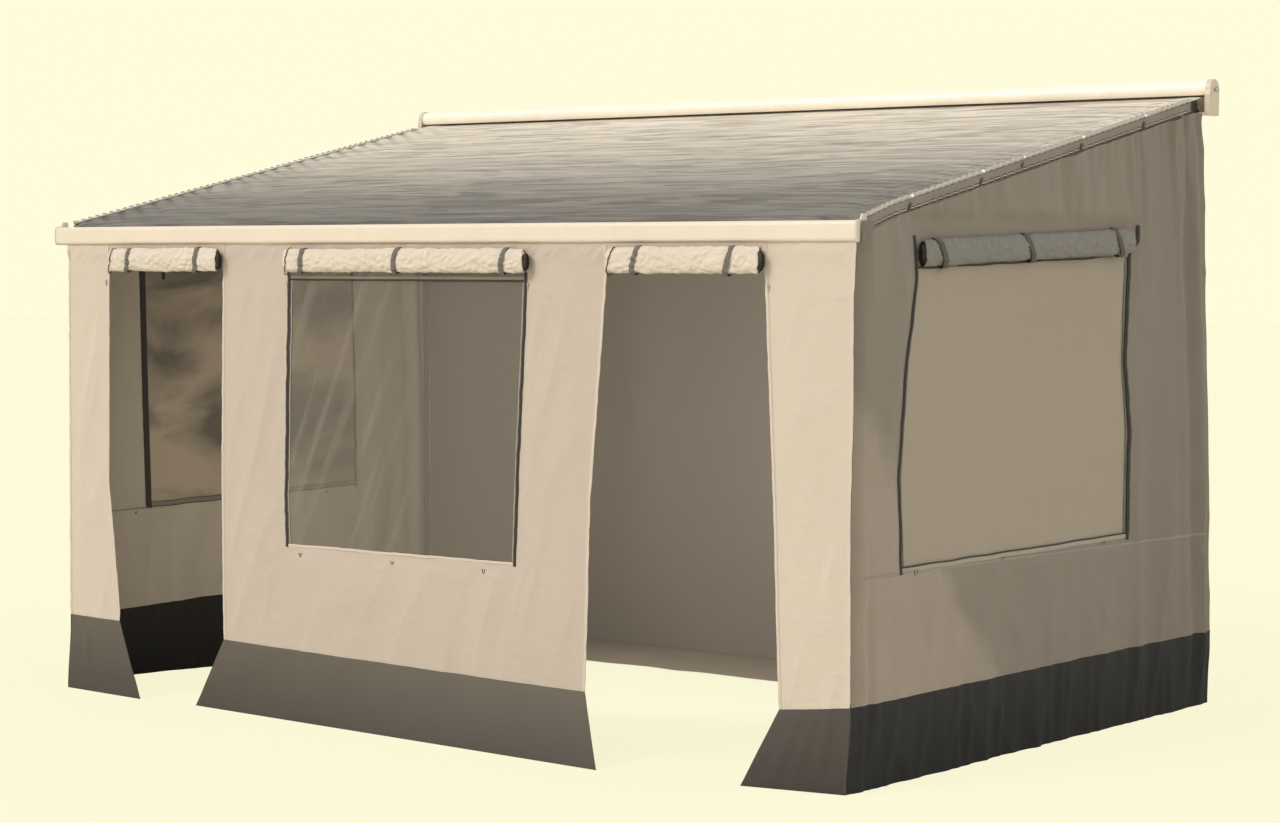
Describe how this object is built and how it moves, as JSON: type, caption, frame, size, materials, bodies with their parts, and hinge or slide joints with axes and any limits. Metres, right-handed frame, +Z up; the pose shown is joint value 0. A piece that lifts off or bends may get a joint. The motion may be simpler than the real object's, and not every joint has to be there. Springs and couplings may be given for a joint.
{
  "type": "awning room",
  "caption": "Awning room: wall case and roller, sloping canopy, folding legs, rafters and cloth walls with rolled doors and blinds, windows and ground skirts.",
  "frame": {"origin": "middle of the bounding box, at ground level", "axes": "+X along the front, to the right as seen from outside; +Y from the front wall to the wall brackets; +Z up"},
  "size_m": [4.3774, 2.7342, 2.593],
  "materials": {
    "cream_paint": "satin",
    "bare_alloy": "satin",
    "steel": "satin",
    "dark_plastic": "matte",
    "white_plastic": "matte",
    "clear_film": "gloss",
    "wall_cloth": "matte",
    "shade_cloth": "matte",
    "skirt_cloth": "matte",
    "roof_cloth": "matte",
    "strap_webbing": "matte"
  },
  "bodies": {
    "frame": {"case_housing": "cream_paint", "case_cap_left": "white_plastic", "case_cap_right": "white_plastic", "wall_bracket_left": "bare_alloy", "wall_bracket_right": "bare_alloy", "winch_gear_cartridge": "dark_plastic", "lead_rail": "cream_paint", "lead_rail_cap_left": "white_plastic", "lead_rail_cap_right": "white_plastic", "roof_canopy": "roof_cloth", "front_panel_left": "wall_cloth", "front_panel_centre": "wall_cloth", "front_panel_right": "wall_cloth", "front_skirt_left": "skirt_cloth", "front_skirt_centre": "skirt_cloth", "front_skirt_right": "skirt_cloth", "front_window_pane": "clear_film", "rear_wall": "shade_cloth", "rear_ground_flap": "shade_cloth", "side_curtain_right": "shade_cloth", "door_roll_left": "wall_cloth", "door_roll_right": "wall_cloth", "door_straps_left": "strap_webbing", "door_straps_right": "strap_webbing", "front_blind_roll": "wall_cloth", "front_blind_straps": "strap_webbing", "leg_bracket_left": "bare_alloy", "rafter_left_outer_tube": "bare_alloy", "roof_strip_left": "roof_cloth", "side_wall_left": "wall_cloth", "side_skirt_left": "skirt_cloth", "side_window_pane_left": "clear_film", "side_blind_roll_left": "wall_cloth", "side_blind_straps_left": "strap_webbing", "leg_bracket_right": "bare_alloy", "rafter_right_outer_tube": "bare_alloy", "roof_strip_right": "roof_cloth", "side_wall_right": "wall_cloth", "side_skirt_right": "skirt_cloth", "side_window_pane_right": "clear_film", "side_blind_roll_right": "wall_cloth", "side_blind_straps_right": "strap_webbing"},
    "leg_left_upper": {"leg_left_upper_tube": "bare_alloy"},
    "leg_left_lower": {"leg_left_lower_tube": "bare_alloy"},
    "leg_left_shoe": {"leg_left_foot": "dark_plastic"},
    "leg_left_lever": {"leg_left_clamp_lever": "dark_plastic"},
    "rafter_left_slide": {"rafter_left_inner_tube": "bare_alloy", "rafter_left_hook": "dark_plastic"},
    "leg_right_upper": {"leg_right_upper_tube": "bare_alloy"},
    "leg_right_lower": {"leg_right_lower_tube": "bare_alloy"},
    "leg_right_shoe": {"leg_right_foot": "dark_plastic"},
    "leg_right_lever": {"leg_right_clamp_lever": "dark_plastic"},
    "rafter_right_slide": {"rafter_right_inner_tube": "bare_alloy", "rafter_right_hook": "dark_plastic"},
    "roller": {"roller_tube": "bare_alloy"},
    "winch_hook_eye": {"winch_eye": "steel"},
    "front_zip_pull_left": {"front_zip_slider_left": "dark_plastic"},
    "front_zip_pull_right": {"front_zip_slider_right": "dark_plastic"},
    "door_zip_pull_left": {"door_zip_slider_left": "dark_plastic"},
    "door_zip_pull_right": {"door_zip_slider_right": "dark_plastic"}
  },
  "joints": [
    {"name": "leg_left_fold", "type": "hinge", "parent": "frame", "child": "leg_left_upper", "pos_m": [-1.9255, -1.18115, 1.87], "axis": [0, -1, 0], "range_deg": [0, 90]},
    {"name": "leg_left_telescope", "type": "slide", "parent": "leg_left_upper", "child": "leg_left_lower", "axis": [0, 0, 1], "range_m": [0, 0.35]},
    {"name": "leg_left_foot_tilt", "type": "hinge", "parent": "leg_left_lower", "child": "leg_left_shoe", "pos_m": [-1.9255, -1.18115, 0.03], "axis": [0, 1, 0], "range_deg": [-20, 20]},
    {"name": "leg_left_clamp", "type": "hinge", "parent": "leg_left_upper", "child": "leg_left_lever", "pos_m": [-1.9255, -1.15935, 1.145], "axis": [1, 0, 0], "range_deg": [0, 80]},
    {"name": "rafter_left_telescope", "type": "slide", "parent": "frame", "child": "rafter_left_slide", "axis": [0.0528, -0.977, -0.2065], "range_m": [0, 0.9]},
    {"name": "leg_right_fold", "type": "hinge", "parent": "frame", "child": "leg_right_upper", "pos_m": [1.9255, -1.18115, 1.87], "axis": [0, 1, 0], "range_deg": [0, 90]},
    {"name": "leg_right_telescope", "type": "slide", "parent": "leg_right_upper", "child": "leg_right_lower", "axis": [0, 0, 1], "range_m": [0, 0.35]},
    {"name": "leg_right_foot_tilt", "type": "hinge", "parent": "leg_right_lower", "child": "leg_right_shoe", "pos_m": [1.9255, -1.18115, 0.03], "axis": [0, 1, 0], "range_deg": [-20, 20]},
    {"name": "leg_right_clamp", "type": "hinge", "parent": "leg_right_upper", "child": "leg_right_lever", "pos_m": [1.9255, -1.15935, 1.145], "axis": [1, 0, 0], "range_deg": [0, 80]},
    {"name": "rafter_right_telescope", "type": "slide", "parent": "frame", "child": "rafter_right_slide", "axis": [-0.0528, -0.977, -0.2065], "range_m": [0, 0.9]},
    {"name": "roller_turn", "type": "hinge", "parent": "frame", "child": "roller", "pos_m": [0, 1.31485, 2.55001], "axis": [1, 0, 0], "continuous": true},
    {"name": "winch_eye_turn", "type": "hinge", "parent": "frame", "child": "winch_hook_eye", "pos_m": [2.1683, 1.31485, 2.55001], "axis": [1, 0, 0], "continuous": true},
    {"name": "front_zip_left_travel", "type": "slide", "parent": "frame", "child": "front_zip_pull_left", "axis": [-0.0165, 0, -0.9999], "range_m": [0, 1.0221]},
    {"name": "front_zip_right_travel", "type": "slide", "parent": "frame", "child": "front_zip_pull_right", "axis": [-0.0542, 0, -0.9985], "range_m": [0, 1.0235]},
    {"name": "door_zip_left_travel", "type": "slide", "parent": "frame", "child": "door_zip_pull_left", "axis": [-0.0089, 0, -1], "range_m": [0, 0.862]},
    {"name": "door_zip_right_travel", "type": "slide", "parent": "frame", "child": "door_zip_pull_right", "axis": [0.0388, 0, -0.9992], "range_m": [0, 1.4431]}
  ],
  "couplings": [
    {"joint": "winch_eye_turn", "follows": "roller_turn", "ratio": 7}
  ]
}
